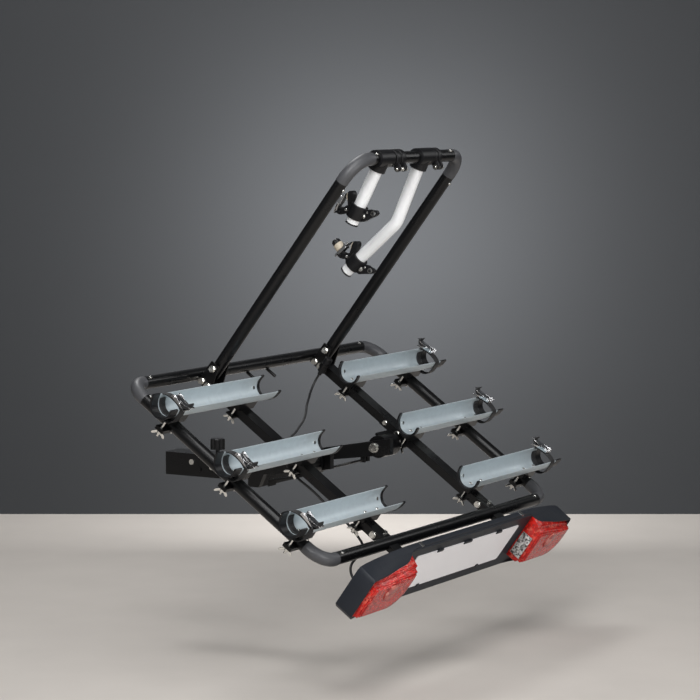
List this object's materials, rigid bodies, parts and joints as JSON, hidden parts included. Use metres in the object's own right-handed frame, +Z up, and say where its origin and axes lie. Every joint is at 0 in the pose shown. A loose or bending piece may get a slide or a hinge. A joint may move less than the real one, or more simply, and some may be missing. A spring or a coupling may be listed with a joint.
{
  "type": "hitch bike rack",
  "caption": "Tow ball bike rack with tilting platform, folding hoop, holding arms, wheel channels and rear light board.",
  "frame": {"origin": "centre of the tow ball in the coupling socket", "axes": "+X to the right seen from behind, +Y forward in the driving direction, +Z up"},
  "size_m": [1.304, 0.8945, 1.0401],
  "materials": {
    "black_paint": "gloss black powder coat with light orange peel",
    "elbow_plastic": "anthracite moulded plastic, fine grain",
    "zinc_sheet": "galvanised sheet, cool pale grey",
    "zinc_hardware": "bright zinc plated fasteners",
    "arm_silver": "silver white enamel",
    "black_plastic": "black moulded nylon",
    "board_plastic": "charcoal moulded plastic with bluish sheen",
    "lamp_red": "red lamp lens with prism texture",
    "bulb_glass": "clear bulb in a pale cup",
    "plate_white": "plain white plate, no lettering",
    "strap_rubber": "black ladder strap",
    "chrome_buckle": "chromed ratchet buckle",
    "cable_black": "black lighting cable"
  },
  "bodies": {
    "root": {"drawbar": "black_paint", "coupling_housing": "black_paint", "coupling_pins": "zinc_hardware", "pivot_bolts": "zinc_hardware"},
    "platform": {"front_tube": "black_paint", "rear_tube": "black_paint", "side_tube_left": "black_paint", "side_tube_right": "black_paint", "frame_elbows": "elbow_plastic", "frame_screws": "zinc_hardware", "inner_beam_left": "black_paint", "inner_beam_right": "black_paint", "beam_bolts": "zinc_hardware", "pivot_brackets": "black_paint", "hoop_brackets": "black_paint", "bracket_bolts": "zinc_hardware", "wheel_channel_left_front": "zinc_sheet", "wheel_channel_left_middle": "zinc_sheet", "wheel_channel_left_rear": "zinc_sheet", "wheel_channel_right_front": "zinc_sheet", "wheel_channel_right_middle": "zinc_sheet", "wheel_channel_right_rear": "zinc_sheet", "channel_trims": "black_plastic", "channel_rivets": "zinc_hardware", "channel_saddles": "black_paint", "clamp_plates": "black_paint", "clamp_bolts": "zinc_hardware", "wing_nuts": "zinc_hardware", "wheel_straps": "strap_rubber", "strap_buckles": "chrome_buckle", "light_board": "board_plastic", "lens_left": "lamp_red", "lens_right": "lamp_red", "lamp_bulbs": "bulb_glass", "number_plate": "plate_white", "board_brackets": "black_paint", "cable": "cable_black", "plug": "black_plastic"},
    "release": {"tilt_release": "black_paint"},
    "hoop": {"hoop_legs": "black_paint", "hoop_elbows": "elbow_plastic", "hoop_top_tube": "black_paint", "hoop_screws": "zinc_hardware"},
    "short_arm": {"arm_short": "arm_silver", "saddle_short": "black_plastic"},
    "long_arm": {"arm_long": "arm_silver", "saddle_long": "black_plastic"},
    "short_head": {"head_short": "black_plastic"},
    "long_head": {"head_long": "black_plastic"},
    "short_jaw": {"jaw_short": "black_plastic"},
    "long_jaw": {"jaw_long": "black_plastic"},
    "coupling_lever": {"coupling_lever": "black_paint"},
    "coupling_jaw": {"coupling_jaw": "black_paint"},
    "coupling_knob": {"coupling_knob": "black_plastic"},
    "buckle_lever_left_front": {"buckle_lever_left_front": "chrome_buckle"},
    "buckle_lever_left_middle": {"buckle_lever_left_middle": "chrome_buckle"},
    "buckle_lever_left_rear": {"buckle_lever_left_rear": "chrome_buckle"},
    "buckle_lever_right_front": {"buckle_lever_right_front": "chrome_buckle"},
    "buckle_lever_right_middle": {"buckle_lever_right_middle": "chrome_buckle"},
    "buckle_lever_right_rear": {"buckle_lever_right_rear": "chrome_buckle"}
  },
  "joints": [
    {"name": "platform_tilt", "type": "hinge", "parent": "root", "child": "platform", "pos_m": [0, -0.47383, 0.06159], "axis": [-1, 0, 0], "range_deg": [0, 35.4]},
    {"name": "tilt_release_press", "type": "hinge", "parent": "root", "child": "release", "pos_m": [0, -0.43783, 0.02802], "axis": [-1, 0, 0], "range_deg": [0, 16], "stiffness_Nm_per_rad": 2, "springref_deg": -5.73},
    {"name": "hoop_fold", "type": "hinge", "parent": "platform", "child": "hoop", "pos_m": [0, -0.27268, 0.28551], "axis": [1, 0, 0], "range_deg": [0, 50]},
    {"name": "short_arm_swing", "type": "hinge", "parent": "hoop", "child": "short_arm", "pos_m": [-0.143, -0.65255, 0.78598], "axis": [-1, 0, 0], "range_deg": [0, 110]},
    {"name": "long_arm_swing", "type": "hinge", "parent": "hoop", "child": "long_arm", "pos_m": [0.054, -0.65255, 0.78598], "axis": [-1, 0, 0], "range_deg": [0, 110]},
    {"name": "short_head_turn", "type": "hinge", "parent": "short_arm", "child": "short_head", "pos_m": [-0.143, -0.58681, 0.66124], "axis": [0, -0.4662, 0.8847], "range_deg": [-90, 90]},
    {"name": "short_jaw_close", "type": "hinge", "parent": "short_head", "child": "short_jaw", "pos_m": [-0.143, -0.56141, 0.66559], "axis": [1, 0, 0], "range_deg": [0, 30]},
    {"name": "long_head_turn", "type": "hinge", "parent": "long_arm", "child": "long_head", "pos_m": [0.054, -0.47057, 0.52778], "axis": [0, -0.7535, 0.6575], "range_deg": [-90, 90]},
    {"name": "long_jaw_close", "type": "hinge", "parent": "long_head", "child": "long_jaw", "pos_m": [0.054, -0.44843, 0.54098], "axis": [1, 0, 0], "range_deg": [0, 30]},
    {"name": "coupling_lever_lift", "type": "hinge", "parent": "root", "child": "coupling_lever", "pos_m": [0, -0.068, 0], "axis": [-1, 0, 0], "range_deg": [0, 100]},
    {"name": "coupling_jaw_open", "type": "hinge", "parent": "root", "child": "coupling_jaw", "pos_m": [0, -0.046, 0.017], "axis": [-1, 0, 0], "range_deg": [0, 15]},
    {"name": "coupling_knob_turn", "type": "hinge", "parent": "root", "child": "coupling_knob", "pos_m": [0, -0.101, 0.062], "axis": [0, 0, 1], "range_deg": [0, 360]},
    {"name": "buckle_lever_left_front_lift", "type": "hinge", "parent": "platform", "child": "buckle_lever_left_front", "pos_m": [-0.604, -0.38524, 0.25866], "axis": [-1, 0, 0], "range_deg": [0, 95]},
    {"name": "buckle_lever_left_middle_lift", "type": "hinge", "parent": "platform", "child": "buckle_lever_left_middle", "pos_m": [-0.604, -0.55479, 0.13817], "axis": [-1, 0, 0], "range_deg": [0, 95]},
    {"name": "buckle_lever_left_rear_lift", "type": "hinge", "parent": "platform", "child": "buckle_lever_left_rear", "pos_m": [-0.604, -0.72433, 0.01768], "axis": [-1, 0, 0], "range_deg": [0, 95]},
    {"name": "buckle_lever_right_front_lift", "type": "hinge", "parent": "platform", "child": "buckle_lever_right_front", "pos_m": [0.604, -0.38258, 0.26055], "axis": [1, 0, 0], "range_deg": [0, 95]},
    {"name": "buckle_lever_right_middle_lift", "type": "hinge", "parent": "platform", "child": "buckle_lever_right_middle", "pos_m": [0.604, -0.55213, 0.14006], "axis": [1, 0, 0], "range_deg": [0, 95]},
    {"name": "buckle_lever_right_rear_lift", "type": "hinge", "parent": "platform", "child": "buckle_lever_right_rear", "pos_m": [0.604, -0.72168, 0.01957], "axis": [1, 0, 0], "range_deg": [0, 95]}
  ],
  "couplings": [
    {"joint": "coupling_jaw_open", "follows": "coupling_lever_lift", "ratio": 0.15}
  ]
}
